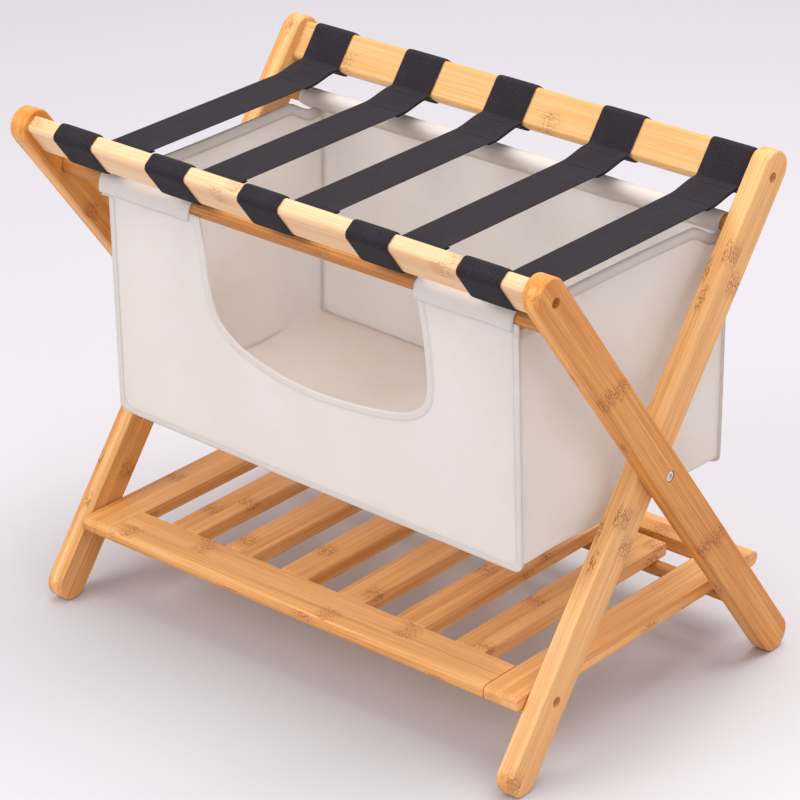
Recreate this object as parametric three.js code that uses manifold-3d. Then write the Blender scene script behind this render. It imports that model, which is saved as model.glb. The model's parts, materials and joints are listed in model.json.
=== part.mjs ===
// Folding luggage rack: two bamboo frames crossed on a pivot, five webbing straps between the top
// rails, a canvas bag hung on two dowels and a slatted shelf low down. Millimetres, +Z up.
// X runs along the rails, -Y is the front, and the origin is on the floor under the middle of the whole.
import * as THREE from 'three';
import { mergeVertices } from 'three/addons/utils/BufferGeometryUtils.js';
import Module from 'manifold-3d';

const wasm = await Module();
wasm.setup();

// Driving dimensions.
const GAP = 0.3;                    // between pieces that touch
const LENGTH = 660;                 // over the outer legs
const LEG = { width: 38, thick: 20, round: 1.8 };
const LEG_ANGLE = THREE.MathUtils.degToRad(53.1);
const LEG_SPACE = 1.6;              // between an outer and an inner leg, taken by a washer
const TOP_REACH = 308;              // pivot to the centre of a leg's round top
const FOOT_REACH = 314;             // pivot to the centre of a leg's round foot
const RAIL = { width: 42, thick: 18, round: 5, reach: 300, offset: -1 };
const DOWEL = { diameter: 16, socket: 8, reach: 246 };
const CROSSBAR_REACH = -255;        // below the pivot, on the outer frame
const SHELF_PIVOT_REACH = -236;     // below the pivot, on the inner frame
const SHELF = { thick: 16, front: -175, rail: 50, stile: 41, slat: 37, slats: 6, slatEnd: 168, round: 1.2 };
const BACK_BOARD = { from: 177, to: 213 };
const STRAP = { width: 50, thick: 2.2, centres: [-248, -125, -6, 128, 258] };
const BAG = { width: 530, centre: 13, bottom: 205, cloth: 1.8, corner: 20 };
const BAG_LEAN = THREE.MathUtils.degToRad(2);   // of the front panel, in towards the floor
const SCOOP = { left: -130, right: 143, side: 162, bottom: -150 };
const BOLT = { head: 11.4, shank: 6, sleeve: 8, recess: 1, seat: 8, nutSeat: 6, sleeveLength: 18 };
const WASHER_RADIUS = 10;
const SCREW = { head: 9.4, shank: 4.6, bore: 11, depth: 9, grip: 28, shelfGrip: 22 };

// Worked out from them.
const PIVOT_Z = FOOT_REACH * Math.sin(LEG_ANGLE) + LEG.width / 2;
const OUTER_FACE = LENGTH / 2;
const OUTER_INSIDE = OUTER_FACE - LEG.thick;
const INNER_FACE = OUTER_INSIDE - LEG_SPACE;
const INNER_INSIDE = INNER_FACE - LEG.thick;
const DOWEL_Y = DOWEL.reach * Math.cos(LEG_ANGLE);
const DOWEL_Z = PIVOT_Z + DOWEL.reach * Math.sin(LEG_ANGLE);
const SHELF_BOTTOM = PIVOT_Z + CROSSBAR_REACH * Math.sin(LEG_ANGLE) + DOWEL.diameter / 2 + GAP;
const SHELF_HALF = INNER_INSIDE - 1.2;
const FEET_Y = FOOT_REACH * Math.cos(LEG_ANGLE) + LEG.width / 2;

const bamboo = (color = 0xd9a15f) => new THREE.MeshStandardMaterial({ color, roughness: 0.42, metalness: 0 });
const webbing = () => new THREE.MeshStandardMaterial({ color: 0x2b282c, roughness: 0.9, metalness: 0 });
const canvas = () => new THREE.MeshStandardMaterial({ color: 0xeae5e2, roughness: 0.95, metalness: 0 });
const steel = () => new THREE.MeshStandardMaterial({ color: 0xc4c6ca, roughness: 0.25, metalness: 1 });

// The back board stands out past the feet, so the pivot sits a little in front of the middle.
const rack = new THREE.Group();
rack.position.y = (FEET_Y - BACK_BOARD.to) / 2;

function add(parent, name, geometry, material) {
  const mesh = new THREE.Mesh(geometry, material);
  mesh.name = name;
  parent.add(mesh);
  return mesh;
}

// A frame's own axes: y runs from the foot to the top of its legs, z across them, x along the rails.
function makeFrame(turn, inward) {
  const group = new THREE.Group();
  group.position.z = PIVOT_Z;
  group.rotation.x = turn;
  rack.add(group);
  return { group, inward };
}
const outer = makeFrame(Math.PI - LEG_ANGLE, -1);
const inner = makeFrame(LEG_ANGLE, 1);

// ---- solids -------------------------------------------------------------------------------------

function toSolid(geometry) {
  const bare = geometry.clone();
  bare.deleteAttribute('normal');
  bare.deleteAttribute('uv');
  const merged = mergeVertices(bare, 1e-4);
  const vertProperties = new Float32Array(merged.attributes.position.array);
  const triVerts = new Uint32Array(merged.index.array);
  return new wasm.Manifold(new wasm.Mesh({ numProp: 3, vertProperties, triVerts }));
}

function toGeometry(solid) {
  const mesh = solid.getMesh();
  const geometry = new THREE.BufferGeometry();
  geometry.setAttribute('position', new THREE.BufferAttribute(new Float32Array(mesh.vertProperties), 3));
  geometry.setIndex(new THREE.BufferAttribute(new Uint32Array(mesh.triVerts), 1));
  return geometry;
}

function cut(geometry, tools) {
  return toGeometry(tools.reduce((solid, tool) => solid.subtract(toSolid(tool)), toSolid(geometry)));
}

function join(geometries) {
  return toGeometry(geometries.map(toSolid).reduce((sum, solid) => sum.add(solid)));
}

// Turns a shape drawn in (y, z) and extruded along its own z into a bar along X, from x0 to x1.
const SHAPE_TO_X = new THREE.Matrix4().makeBasis(
  new THREE.Vector3(0, 1, 0), new THREE.Vector3(0, 0, 1), new THREE.Vector3(1, 0, 0));

function barAlongX(shape, x0, x1, { bevel = 0, curveSegments = 5, bevelSegments = 2 } = {}) {
  const geometry = new THREE.ExtrudeGeometry(shape, {
    depth: x1 - x0 - 2 * bevel,
    bevelEnabled: bevel > 0,
    bevelThickness: bevel,
    bevelSize: bevel,
    bevelOffset: -bevel,
    bevelSegments,
    curveSegments,
  });
  geometry.translate(0, 0, x0 + bevel);
  return geometry.applyMatrix4(SHAPE_TO_X);
}

// A rectangle with a radius of its own at each corner, going round from the lowest y and z.
function roundedRect(y0, y1, z0, z1, [a, b, c, d]) {
  const shape = new THREE.Shape();
  shape.moveTo(y0 + a, z0);
  shape.absarc(y1 - b, z0 + b, b, -Math.PI / 2, 0);
  shape.absarc(y1 - c, z1 - c, c, 0, Math.PI / 2);
  shape.absarc(y0 + d, z1 - d, d, Math.PI / 2, Math.PI);
  shape.absarc(y0 + a, z0 + a, a, Math.PI, 1.5 * Math.PI);
  return shape;
}

function rodAlongX(diameter, x0, x1, y = 0, z = 0, segments = 24) {
  const geometry = new THREE.CylinderGeometry(diameter / 2, diameter / 2, x1 - x0, segments);
  geometry.rotateZ(Math.PI / 2);
  geometry.translate((x0 + x1) / 2, y, z);
  return geometry;
}

// A turned piece whose profile is [radius, distance inward from the outer end], laid along X on one side.
function turnedAlongX(profile, side, face, y = 0, segments = 20) {
  const points = profile.map(([radius, depth]) => new THREE.Vector2(radius, depth));
  const geometry = new THREE.LatheGeometry(points, segments);
  geometry.rotateZ(side * Math.PI / 2);
  geometry.translate(side * face, y, 0);
  return geometry;
}

// ---- legs ---------------------------------------------------------------------------------------

function legShape() {
  const half = LEG.width / 2;
  const shape = new THREE.Shape();
  shape.absarc(TOP_REACH, 0, half, -Math.PI / 2, Math.PI / 2);
  shape.absarc(-FOOT_REACH, 0, half, Math.PI / 2, 1.5 * Math.PI);
  return shape;
}

// A hole from one face of the leg: from is the face it starts in, depth goes towards the other face.
function hole(diameter, from, towards, depth, reach) {
  const start = from - towards;
  const end = from + towards * depth;
  return rodAlongX(diameter, Math.min(start, end), Math.max(start, end), reach);
}

function screwHole(side, face, reach) {
  return [
    hole(SCREW.bore, side * face, -side, SCREW.depth, reach),
    hole(SCREW.shank + 2 * GAP, side * face, -side, LEG.thick + 1, reach),
  ];
}

function dowelSocket(side, insideFace, reach) {
  return hole(DOWEL.diameter + 2 * GAP, side * insideFace, side, DOWEL.socket, reach);
}

function outerLeg(side) {
  const faces = [side * OUTER_INSIDE, side * OUTER_FACE].sort((a, b) => a - b);
  const blank = barAlongX(legShape(), faces[0], faces[1], { bevel: LEG.round, curveSegments: 14 });
  return cut(blank, [
    ...screwHole(side, OUTER_FACE, RAIL.reach),
    dowelSocket(side, OUTER_INSIDE, DOWEL.reach),
    dowelSocket(side, OUTER_INSIDE, CROSSBAR_REACH),
    hole(BOLT.head + 2 * GAP, side * OUTER_FACE, -side, BOLT.seat, 0),
    hole(BOLT.shank + 2 * GAP, side * OUTER_FACE, -side, LEG.thick + 1, 0),
  ]);
}

function innerLeg(side) {
  const faces = [side * INNER_INSIDE, side * INNER_FACE].sort((a, b) => a - b);
  const blank = barAlongX(legShape(), faces[0], faces[1], { bevel: LEG.round, curveSegments: 14 });
  return cut(blank, [
    ...screwHole(side, INNER_FACE, RAIL.reach),
    ...screwHole(side, INNER_FACE, SHELF_PIVOT_REACH),
    dowelSocket(side, INNER_INSIDE, DOWEL.reach),
    hole(BOLT.head + 2 * GAP, side * INNER_INSIDE, side, BOLT.nutSeat, 0),
    hole(BOLT.sleeve + 2 * GAP, side * INNER_FACE, -side, LEG.thick + 1, 0),
  ]);
}

// ---- top rails, dowels and crossbar -------------------------------------------------------------

function topRail(frame, insideFace) {
  const end = insideFace - GAP;
  const middle = frame.inward * RAIL.offset;
  const y = [RAIL.reach - RAIL.width / 2, RAIL.reach + RAIL.width / 2];
  const z = [middle - RAIL.thick / 2, middle + RAIL.thick / 2];
  const bar = barAlongX(roundedRect(...y, ...z, Array(4).fill(RAIL.round)), -end, end);
  const depth = SCREW.grip + 2;
  const bores = [-1, 1].map((side) => hole(SCREW.shank + 2 * GAP, side * end, -side, depth, RAIL.reach));
  return cut(bar, bores);
}

function dowel(insideFace, reach) {
  const end = insideFace + DOWEL.socket - GAP;
  return rodAlongX(DOWEL.diameter, -end, end, reach);
}

// ---- fasteners ----------------------------------------------------------------------------------

// Pan head with a shank into the end grain of the rail or the shelf; the head seats in the counterbore.
function screw(side, face, reach, length) {
  const seat = SCREW.depth - GAP;
  const crown = seat - 3;
  const head = SCREW.head / 2;
  const shank = SCREW.shank / 2;
  const profile = [
    [0, crown], [head * 0.6, crown + 0.2], [head, crown + 1.4], [head, seat], [shank, seat],
    [shank, seat + length - 4], [0, seat + length],
  ];
  return turnedAlongX(profile, side, face, reach);
}

function pivotBolt(side) {
  const head = BOLT.head / 2;
  const shank = BOLT.shank / 2;
  const seat = BOLT.seat - GAP;
  const length = LEG.thick + LEG_SPACE + 12;
  const profile = [
    [0, BOLT.recess], [head - 0.8, BOLT.recess], [head, BOLT.recess + 0.8], [head, seat], [shank, seat],
    [shank, length - 0.6], [shank - 0.6, length], [0, length],
  ];
  const socket = new THREE.CylinderGeometry(3.2, 3.2, 5, 6);
  socket.rotateZ(Math.PI / 2);
  socket.translate(side * (OUTER_FACE - BOLT.recess), 0, 0);
  return cut(turnedAlongX(profile, side, OUTER_FACE), [socket]);
}

// The sleeve nut comes in from the inner side; its barrel covers the end of the bolt.
function sleeveNut(side) {
  const head = BOLT.head / 2;
  const sleeve = BOLT.sleeve / 2;
  const bore = BOLT.shank / 2 + GAP;
  const crown = 2;
  const seat = BOLT.nutSeat - GAP;
  const profile = [
    [0, crown], [head - 0.6, crown], [head, crown + 0.6], [head, seat], [sleeve, seat],
    [sleeve, BOLT.sleeveLength], [bore, BOLT.sleeveLength], [bore, 5], [0, 5],
  ];
  const geometry = turnedAlongX(profile, -side, 0);
  geometry.translate(side * INNER_INSIDE, 0, 0);
  return geometry;
}

function washer(side) {
  const bore = BOLT.shank / 2 + GAP;
  const thick = LEG_SPACE - 2 * GAP;
  const profile = [[bore, 0], [WASHER_RADIUS, 0], [WASHER_RADIUS, thick], [bore, thick], [bore, 0]];
  return turnedAlongX(profile, side, OUTER_INSIDE - GAP);
}

// ---- shelf --------------------------------------------------------------------------------------

const SHELF_TOP = SHELF_BOTTOM + SHELF.thick;

// A board along Y: its profile is drawn in (y, z), its long top edges are eased by the bevel.
function board(x0, x1, y0, y1, corners) {
  const shape = roundedRect(y0, y1, SHELF_BOTTOM, SHELF_TOP, corners);
  return barAlongX(shape, x0, x1, { bevel: SHELF.round, curveSegments: 4, bevelSegments: 1 });
}

function shelfStile(side) {
  const x = [side * SHELF_HALF, side * (SHELF_HALF - SHELF.stile)].sort((a, b) => a - b);
  const blank = board(x[0], x[1], SHELF.front, BACK_BOARD.from - GAP, [6, 1.8, 1.8, 6]);
  const pivotY = SHELF_PIVOT_REACH * Math.cos(LEG_ANGLE);
  const pivotZ = PIVOT_Z + SHELF_PIVOT_REACH * Math.sin(LEG_ANGLE);
  const bore = hole(SCREW.shank + 2 * GAP, side * SHELF_HALF, -side, SCREW.shelfGrip + 3, 0);
  bore.translate(0, pivotY, pivotZ);
  return cut(blank, [bore]);
}

function buildShelf() {
  const bay = SHELF_HALF - SHELF.stile - GAP;
  const railBack = SHELF.front + SHELF.rail;
  const frontRail = roundedRect(SHELF.front, railBack, SHELF_BOTTOM, SHELF_TOP, [6, 1.5, 1.5, 6]);
  add(rack, 'shelf_front_rail', barAlongX(frontRail, -bay, bay), bamboo(0xdba565));
  const backBoard = roundedRect(BACK_BOARD.from, BACK_BOARD.to, SHELF_BOTTOM, SHELF_TOP, [1.5, 7, 7, 1.5]);
  add(rack, 'shelf_back_board', barAlongX(backBoard, -SHELF_HALF, SHELF_HALF), bamboo(0xd9a873));
  add(rack, 'shelf_stile_left', shelfStile(-1), bamboo(0xd9a26b));
  add(rack, 'shelf_stile_right', shelfStile(1), bamboo(0xd9a26b));
  const space = (2 * (SHELF_HALF - SHELF.stile) - SHELF.slats * SHELF.slat) / (SHELF.slats + 1);
  for (let i = 0; i < SHELF.slats; i += 1) {
    const x0 = -SHELF_HALF + SHELF.stile + space + i * (SHELF.slat + space);
    const slat = board(x0, x0 + SHELF.slat, railBack + GAP, SHELF.slatEnd, [1.8, 4, 4, 1.8]);
    add(rack, `shelf_slat_${i + 1}`, slat, bamboo(0xd39458));
  }
}

// ---- straps -------------------------------------------------------------------------------------

function strapLoop(frame, centre) {
  const middle = frame.inward * RAIL.offset;
  const band = (grow) => roundedRect(
    RAIL.reach - RAIL.width / 2 - grow, RAIL.reach + RAIL.width / 2 + grow,
    middle - RAIL.thick / 2 - grow, middle + RAIL.thick / 2 + grow,
    Array(4).fill(RAIL.round + grow));
  const shape = band(GAP + STRAP.thick);
  shape.holes.push(band(GAP));
  return barAlongX(shape, centre - STRAP.width / 2, centre + STRAP.width / 2);
}

// The span leaves each loop where it bulges furthest towards the other rail.
function strapSpan(centre) {
  const reach = RAIL.reach - RAIL.width / 2 + RAIL.round;
  const offset = RAIL.offset + RAIL.thick / 2 - RAIL.round;
  const cos = Math.cos(LEG_ANGLE);
  const sin = Math.sin(LEG_ANGLE);
  const half = reach * cos - offset * sin - RAIL.round - STRAP.thick - 2 * GAP;
  const geometry = new THREE.BoxGeometry(STRAP.width, 2 * half, STRAP.thick);
  geometry.translate(centre, 0, PIVOT_Z + reach * sin + offset * cos);
  return geometry;
}

function buildStraps() {
  STRAP.centres.forEach((centre, i) => {
    add(outer.group, `strap_${i + 1}_front_loop`, strapLoop(outer, centre), webbing());
    add(inner.group, `strap_${i + 1}_back_loop`, strapLoop(inner, centre), webbing());
    add(rack, `strap_${i + 1}_span`, strapSpan(centre), webbing());
  });
}

// ---- bag ----------------------------------------------------------------------------------------

const SLEEVE_IN = DOWEL.diameter / 2 + 2 * GAP;
const SLEEVE_OUT = SLEEVE_IN + BAG.cloth;

function sleeve(x0, x1) {
  const ring = new THREE.Shape().absarc(0, 0, SLEEVE_OUT, 0, 2 * Math.PI);
  ring.holes.push(new THREE.Path().absarc(0, 0, SLEEVE_IN, 0, 2 * Math.PI));
  return barAlongX(ring, x0, x1, { curveSegments: 20 });
}

// A flat panel drawn in (x, z) about its dowel and hung at the outside of the sleeve.
function hungPanel(shape, side) {
  const options = { depth: BAG.cloth, bevelEnabled: false, curveSegments: 8 };
  const geometry = new THREE.ExtrudeGeometry(shape, options);
  geometry.rotateX(Math.PI / 2);
  geometry.translate(0, side > 0 ? SLEEVE_OUT : -SLEEVE_OUT + BAG.cloth, 0);
  return geometry;
}

// A panel's outline below its dowel, with round bottom corners, left open along the top.
function panelOutline(left, right, bottom) {
  const r = BAG.corner;
  const shape = new THREE.Shape();
  shape.moveTo(left, 0);
  shape.lineTo(left, bottom + r);
  shape.absarc(left + r, bottom + r, r, Math.PI, 1.5 * Math.PI);
  shape.lineTo(right - r, bottom);
  shape.absarc(right - r, bottom + r, r, -Math.PI / 2, 0);
  shape.lineTo(right, 0);
  return shape;
}

// The front panel is cut away between the two parts of its sleeve: steep on the right with a round
// corner, nearly flat along the bottom, and a wider sweep up the left side.
function frontPanelShape(left, right, bottom) {
  const shape = panelOutline(left, right, bottom);
  const { side, bottom: low } = SCOOP;
  shape.lineTo(SCOOP.right, 0);
  shape.bezierCurveTo(SCOOP.right + 10, -30, side + 1, -70, side, low + 52);
  shape.bezierCurveTo(side - 1, low + 28, side - 12, low + 13, side - 42, low + 8);
  shape.bezierCurveTo(60, low - 4, -20, low - 2, -71, low + 18);
  shape.bezierCurveTo(-98, low + 26, -105, low + 50, -109, -66);
  shape.bezierCurveTo(-112, -38, -118, -15, SCOOP.left, 0);
  shape.closePath();
  return shape;
}

// The end panels droop a little between the dowels; their foot is rounded like the bag's corners.
function endPanelShape() {
  const front = -DOWEL_Y - SLEEVE_OUT + BAG.cloth + 1;
  const back = DOWEL_Y + SLEEVE_OUT - BAG.cloth - 1;
  const top = DOWEL_Z - 22;
  const bottom = BAG.bottom + BAG.cloth + 1;
  const lean = (top - bottom) * Math.tan(BAG_LEAN);
  const shape = new THREE.Shape();
  shape.moveTo(front + 2, top);
  shape.lineTo(front + 3 + lean, bottom);
  shape.lineTo(back, bottom);
  shape.lineTo(back, top);
  shape.quadraticCurveTo(0, top - 50, front + 2, top);
  return shape;
}

function buildBag() {
  const left = BAG.centre - BAG.width / 2;
  const right = BAG.centre + BAG.width / 2;
  const drop = BAG.bottom - DOWEL_Z;

  const front = join([
    sleeve(left, SCOOP.left),
    sleeve(SCOOP.right, right),
    hungPanel(frontPanelShape(left, right, drop), -1),
  ]);
  const frontMesh = add(rack, 'bag_front_panel', front, canvas());
  frontMesh.position.set(0, -DOWEL_Y, DOWEL_Z);
  frontMesh.rotation.x = BAG_LEAN;

  const back = join([sleeve(left, right), hungPanel(panelOutline(left, right, drop), 1)]);
  add(rack, 'bag_back_panel', back, canvas()).position.set(0, DOWEL_Y, DOWEL_Z);

  const end = endPanelShape();
  const options = { curveSegments: 10 };
  for (const [name, x0] of [['left', left + 0.5], ['right', right - 0.5 - BAG.cloth]]) {
    add(rack, `bag_end_${name}`, barAlongX(end, x0, x0 + BAG.cloth, options), canvas());
  }

  const lean = (DOWEL_Z - BAG.bottom) * Math.tan(BAG_LEAN);
  const bottomFront = -DOWEL_Y - SLEEVE_OUT + BAG.cloth + lean + 2;
  const bottomBack = DOWEL_Y + SLEEVE_OUT - BAG.cloth - 1;
  const width = BAG.width - 2 * BAG.corner - 4;
  const floor = new THREE.BoxGeometry(width, bottomBack - bottomFront, BAG.cloth);
  floor.translate(BAG.centre, (bottomFront + bottomBack) / 2, BAG.bottom + BAG.cloth / 2);
  add(rack, 'bag_bottom', floor, canvas());
}

// ---- assembly -----------------------------------------------------------------------------------

function buildFrames() {
  for (const [name, side] of [['left', -1], ['right', 1]]) {
    const screwLength = LEG.thick - SCREW.depth + SCREW.grip;
    const pivotLength = LEG.thick - SCREW.depth + SCREW.shelfGrip;
    add(outer.group, `outer_leg_${name}`, outerLeg(side), bamboo());
    add(inner.group, `inner_leg_${name}`, innerLeg(side), bamboo(0xdda968));
    add(outer.group, `pivot_bolt_${name}`, pivotBolt(side), steel());
    add(inner.group, `sleeve_nut_${name}`, sleeveNut(side), steel());
    add(outer.group, `pivot_washer_${name}`, washer(side), steel());
    add(outer.group, `front_rail_screw_${name}`, screw(side, OUTER_FACE, RAIL.reach, screwLength), steel());
    add(inner.group, `back_rail_screw_${name}`, screw(side, INNER_FACE, RAIL.reach, screwLength), steel());
    const pivotScrew = screw(side, INNER_FACE, SHELF_PIVOT_REACH, pivotLength);
    add(inner.group, `shelf_pivot_screw_${name}`, pivotScrew, steel());
  }
  add(outer.group, 'front_top_rail', topRail(outer, OUTER_INSIDE), bamboo(0xe8bd85));
  add(inner.group, 'back_top_rail', topRail(inner, INNER_INSIDE), bamboo(0xe6b878));
  add(outer.group, 'front_bag_dowel', dowel(OUTER_INSIDE, DOWEL.reach), bamboo(0xd79450));
  add(inner.group, 'back_bag_dowel', dowel(INNER_INSIDE, DOWEL.reach), bamboo(0xd79450));
  add(outer.group, 'shelf_crossbar', dowel(OUTER_INSIDE, CROSSBAR_REACH), bamboo(0xb87636));
}

buildFrames();
buildShelf();
buildStraps();
buildBag();

export default rack;
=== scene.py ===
"""A folding bamboo luggage rack with webbing straps, a canvas bag and a slatted shelf."""
import json
import math

import bpy
import numpy as np
from mathutils import Matrix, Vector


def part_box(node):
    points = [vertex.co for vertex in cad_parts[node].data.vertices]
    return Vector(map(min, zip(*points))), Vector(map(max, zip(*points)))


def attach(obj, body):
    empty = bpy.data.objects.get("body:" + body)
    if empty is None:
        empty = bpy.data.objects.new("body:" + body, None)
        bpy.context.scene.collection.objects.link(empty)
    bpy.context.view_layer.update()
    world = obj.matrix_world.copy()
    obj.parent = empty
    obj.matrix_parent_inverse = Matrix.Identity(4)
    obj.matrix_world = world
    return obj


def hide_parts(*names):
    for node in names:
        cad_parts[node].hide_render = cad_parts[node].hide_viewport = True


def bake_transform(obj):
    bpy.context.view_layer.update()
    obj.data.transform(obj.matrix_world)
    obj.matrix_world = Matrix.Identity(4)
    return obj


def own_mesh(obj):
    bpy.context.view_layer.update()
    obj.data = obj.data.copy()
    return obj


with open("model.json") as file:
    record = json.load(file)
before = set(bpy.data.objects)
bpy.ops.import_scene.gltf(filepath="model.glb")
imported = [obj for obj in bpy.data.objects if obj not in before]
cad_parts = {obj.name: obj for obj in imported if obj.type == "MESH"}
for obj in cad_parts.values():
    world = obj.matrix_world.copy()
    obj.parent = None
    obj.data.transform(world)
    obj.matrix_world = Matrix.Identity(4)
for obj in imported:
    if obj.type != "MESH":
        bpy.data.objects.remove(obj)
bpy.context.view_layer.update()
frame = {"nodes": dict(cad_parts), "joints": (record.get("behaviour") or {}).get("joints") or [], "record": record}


# ---- The view -----------------------------------------------------------------------------------
# A long lens stands off the rack's front right corner and looks down on it, so that the straps,
# the mouth of the bag and the slats are all seen together.
fold_joint = next(joint for joint in frame["joints"] if joint["name"] == "fold")
pivot = np.array(fold_joint["pos_m"])
VIEW_TURN = 0.708          # radians round from the front towards +X
VIEW_RISE = 0.449
VIEW_ROLL = -0.006
VIEW_DISTANCE = 3.4745
VIEW_LENS = 156.8

aim = pivot + np.array([-0.0041, 0.0, -0.0232])
back = np.array([
    math.sin(VIEW_TURN) * math.cos(VIEW_RISE),
    -math.cos(VIEW_TURN) * math.cos(VIEW_RISE),
    math.sin(VIEW_RISE),
])
level = np.array([math.cos(VIEW_TURN), math.sin(VIEW_TURN), 0.0])
lift = np.cross(back, level)
right = math.cos(VIEW_ROLL) * level + math.sin(VIEW_ROLL) * lift
up = math.cos(VIEW_ROLL) * lift - math.sin(VIEW_ROLL) * level
camera = bpy.data.objects.new("camera", bpy.data.cameras.new("camera"))
bpy.context.scene.collection.objects.link(camera)
camera.data.lens = VIEW_LENS
camera.data.clip_end = 60.0
placed = np.eye(4)
placed[:3, :4] = np.stack([right, up, back, aim + VIEW_DISTANCE * back], axis=1)
camera.matrix_world = Matrix(placed.tolist())
bpy.context.scene.camera = camera


# ---- Legs ---------------------------------------------------------------------------------------
# Four legs of bamboo, pressed from long strips in three layers, with half-round ends and eased
# edges, under satin lacquer. The outer pair carries the front rail and the inner pair the back one.
body_of = {
    node: body
    for body, nodes in frame["record"]["behaviour"]["bodies"].items()
    for node in nodes
}
slot_of = {part["node"]: part["material_slot"] for part in frame["record"]["subparts"]}


def new_finish(name):
    """A new material, with its node tree and its main shader."""
    material = bpy.data.materials.new(name)
    material.use_nodes = True
    tree = material.node_tree
    return material, tree, tree.nodes["Principled BSDF"]


def add_node(tree, kind, inputs=None, **settings):
    """One shader node. An input is a number, a colour or another node's output."""
    made = tree.nodes.new("ShaderNode" + kind)
    for key, value in settings.items():
        setattr(made, key, value)
    for key, value in (inputs or {}).items():
        if isinstance(value, bpy.types.NodeSocket):
            tree.links.new(value, made.inputs[key])
        else:
            made.inputs[key].default_value = value
    return made


def sums(tree, operation, first, second=0.0):
    """One arithmetic step on two numbers or outputs."""
    return add_node(tree, "Math", {0: first, 1: second}, operation=operation).outputs[0]


def ease(tree, value, low, high, start, end):
    """Moves a value from start to end, smoothly, as it goes from low to high."""
    inputs = {"Value": value, "From Min": low, "From Max": high, "To Min": start, "To Max": end}
    made = add_node(tree, "MapRange", inputs, interpolation_type="SMOOTHSTEP")
    return made.outputs["Result"]


def blend_colours(tree, share, first, second, blend="MIX"):
    """Mixes two colours, or multiplies the first by the second, by a share."""
    made = add_node(tree, "Mix", {0: share, 6: first, 7: second}, data_type="RGBA", blend_type=blend)
    return made.outputs[2]


def streaks(tree, way, scale, detail=3.0, rough=0.55):
    """Noise stretched along the first of three measures, by a scale for each of them."""
    stretched = add_node(tree, "VectorMath", {0: way, 1: scale}, operation="MULTIPLY").outputs[0]
    inputs = {"Vector": stretched, "Scale": 1.0, "Detail": detail, "Roughness": rough}
    return add_node(tree, "TexNoise", inputs).outputs[0]


NODE_SPACING = 0.27                     # metres between the nodes of a cane
PIECE_SPACING = 3.0                     # metres of bamboo kept for each piece


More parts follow.
